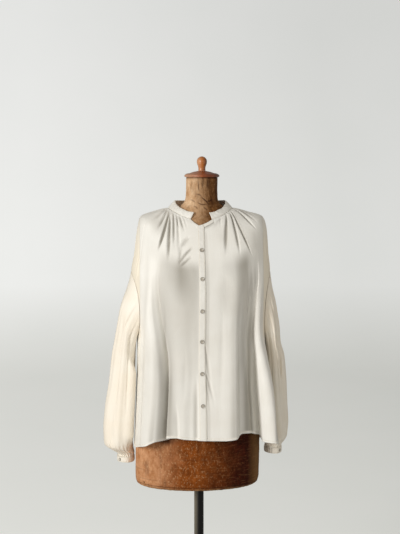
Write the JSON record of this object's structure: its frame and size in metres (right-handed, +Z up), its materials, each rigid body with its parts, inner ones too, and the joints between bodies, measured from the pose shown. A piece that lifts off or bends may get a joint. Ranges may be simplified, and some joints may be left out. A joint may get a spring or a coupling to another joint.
{
  "type": "silk blouse on a dress form",
  "caption": "Loose silk blouse with a gathered stand collar, buttoned front and full gathered sleeves, resting on a limbless dress form on a round-footed pole.",
  "frame": {"origin": "centre of the round foot's underside, on the pole's axis, where the stand rests on the floor", "axes": "+Z up along the pole; the front of the blouse faces -Y; the wearer's left is at +X"},
  "size_m": [0.5469, 0.33, 1.5316],
  "materials": {
    "ivory_silk": "soft matt silk crepe with a slight sheen",
    "shell_button": "polished shell-like",
    "aged_covering": "aged glued linen, worn and creased",
    "turned_wood": "waxed turned wood",
    "black_steel": "black enamel"
  },
  "bodies": {
    "root": {"front_right": "ivory_silk", "front_left": "ivory_silk", "back": "ivory_silk", "collar_band": "ivory_silk", "placket": "ivory_silk", "sleeve_right": "ivory_silk", "sleeve_left": "ivory_silk", "cuff_right": "ivory_silk", "cuff_left": "ivory_silk", "button_1": "shell_button", "button_2": "shell_button", "button_3": "shell_button", "button_4": "shell_button", "button_5": "shell_button", "button_6": "shell_button", "cuff_button_right": "shell_button", "cuff_button_left": "shell_button", "form_torso": "aged_covering", "neck_cap": "turned_wood", "neck_knob": "turned_wood", "stand_pole": "black_steel", "stand_foot": "black_steel"}
  },
  "joints": []
}
